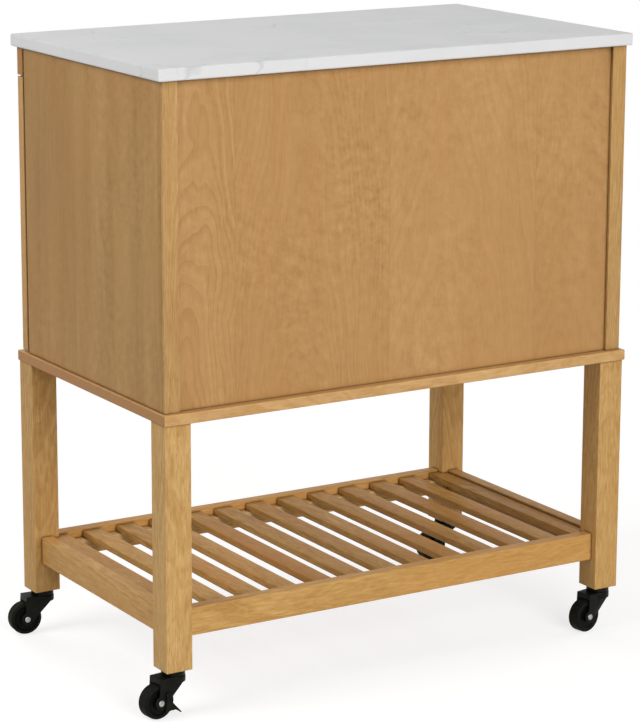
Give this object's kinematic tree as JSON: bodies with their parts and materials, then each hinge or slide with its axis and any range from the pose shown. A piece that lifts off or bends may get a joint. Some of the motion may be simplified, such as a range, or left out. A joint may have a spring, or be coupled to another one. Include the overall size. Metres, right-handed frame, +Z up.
{
  "type": "kitchen cart",
  "caption": "Kitchen cart: stone slab on a wooden cabinet with hinged doors and an inner shelf, slatted shelf between the legs, swivel casters with brakes.",
  "frame": {"origin": "on the floor, under the middle of the cart's box, with the casters trailing to +X as stored", "axes": "+Z up, the doors face -Y, the plain back faces +Y, X along the long side"},
  "size_m": [0.8184, 0.481, 0.914],
  "materials": {
    "stone": "polished white marble with faint grey clouding",
    "oak": "satin clear-lacquered solid wood, straight honey-coloured grain",
    "oak_veneer": "satin clear-lacquered veneer with upright grain",
    "black_plastic": "satin black moulding",
    "steel": "brushed",
    "nylon": "smooth off-white moulding"
  },
  "bodies": {
    "cart": {"stone_top": "stone", "side_panel_left": "oak_veneer", "side_panel_right": "oak_veneer", "back_panel": "oak_veneer", "back_stiles": "oak", "front_stretcher": "oak", "front_rail": "oak", "bottom_board": "oak", "inner_shelf": "oak_veneer", "shelf_pins": "steel", "pivot_bushes": "nylon", "door_catches": "nylon", "leg_back_left": "oak", "leg_back_right": "oak", "leg_front_left": "oak", "leg_front_right": "oak", "apron_back": "oak", "apron_front": "oak", "apron_left": "oak", "apron_right": "oak", "shelf_cleats": "oak", "slat_01": "oak", "slat_02": "oak", "slat_03": "oak", "slat_04": "oak", "slat_05": "oak", "slat_06": "oak", "slat_07": "oak", "slat_08": "oak", "slat_09": "oak", "slat_10": "oak", "slat_11": "oak", "slat_12": "oak", "slat_13": "oak", "caster_socket_back_right": "black_plastic", "caster_socket_front_right": "black_plastic", "caster_socket_back_left": "black_plastic", "caster_socket_front_left": "black_plastic"},
    "door_left": {"door_frame_left": "oak", "door_panel_left": "oak_veneer", "door_knob_left": "steel", "door_pivots_left": "steel"},
    "door_right": {"door_frame_right": "oak", "door_panel_right": "oak_veneer", "door_knob_right": "steel", "door_pivots_right": "steel"},
    "fork_back_right": {"caster_fork_back_right": "black_plastic", "caster_axle_back_right": "steel"},
    "wheel_back_right": {"caster_wheel_back_right": "black_plastic"},
    "pedal_back_right": {"brake_pedal_back_right": "black_plastic"},
    "fork_front_right": {"caster_fork_front_right": "black_plastic", "caster_axle_front_right": "steel"},
    "wheel_front_right": {"caster_wheel_front_right": "black_plastic"},
    "fork_back_left": {"caster_fork_back_left": "black_plastic", "caster_axle_back_left": "steel"},
    "wheel_back_left": {"caster_wheel_back_left": "black_plastic"},
    "fork_front_left": {"caster_fork_front_left": "black_plastic", "caster_axle_front_left": "steel"},
    "wheel_front_left": {"caster_wheel_front_left": "black_plastic"},
    "pedal_front_left": {"brake_pedal_front_left": "black_plastic"}
  },
  "joints": [
    {"name": "door_left_hinge", "type": "hinge", "parent": "cart", "child": "door_left", "pos_m": [-0.39271, -0.2075, 0.64675], "axis": [0, 0, -1], "range_deg": [0, 105]},
    {"name": "door_right_hinge", "type": "hinge", "parent": "cart", "child": "door_right", "pos_m": [0.36329, -0.2075, 0.64675], "axis": [0, 0, 1], "range_deg": [0, 105]},
    {"name": "swivel_back_right", "type": "hinge", "parent": "cart", "child": "fork_back_right", "pos_m": [0.35479, 0.2165, 0.0592], "axis": [0, 0, 1], "continuous": true},
    {"name": "roll_back_right", "type": "hinge", "parent": "fork_back_right", "child": "wheel_back_right", "pos_m": [0.38407, 0.2201, 0.0245], "axis": [-0.1219, 0.9925, 0], "continuous": true},
    {"name": "brake_back_right", "type": "hinge", "parent": "fork_back_right", "child": "pedal_back_right", "pos_m": [0.37216, 0.21863, 0.0345], "axis": [0.1219, -0.9925, 0], "range_deg": [0, 9]},
    {"name": "swivel_front_right", "type": "hinge", "parent": "cart", "child": "fork_front_right", "pos_m": [0.35479, -0.2015, 0.0592], "axis": [0, 0, 1], "continuous": true},
    {"name": "roll_front_right", "type": "hinge", "parent": "fork_front_right", "child": "wheel_front_right", "pos_m": [0.3842, -0.20381, 0.0245], "axis": [0.0785, 0.9969, 0], "continuous": true},
    {"name": "swivel_back_left", "type": "hinge", "parent": "cart", "child": "fork_back_left", "pos_m": [-0.38421, 0.2165, 0.0592], "axis": [0, 0, 1], "continuous": true},
    {"name": "roll_back_left", "type": "hinge", "parent": "fork_back_left", "child": "wheel_back_left", "pos_m": [-0.3552, 0.22188, 0.0245], "axis": [-0.1822, 0.9833, 0], "continuous": true},
    {"name": "swivel_front_left", "type": "hinge", "parent": "cart", "child": "fork_front_left", "pos_m": [-0.38421, -0.2015, 0.0592], "axis": [0, 0, 1], "continuous": true},
    {"name": "roll_front_left", "type": "hinge", "parent": "fork_front_left", "child": "wheel_front_left", "pos_m": [-0.35478, -0.19944, 0.0245], "axis": [-0.0698, 0.9976, 0], "continuous": true},
    {"name": "brake_front_left", "type": "hinge", "parent": "fork_front_left", "child": "pedal_front_left", "pos_m": [-0.36675, -0.20028, 0.0345], "axis": [0.0698, -0.9976, 0], "range_deg": [0, 9]}
  ]
}
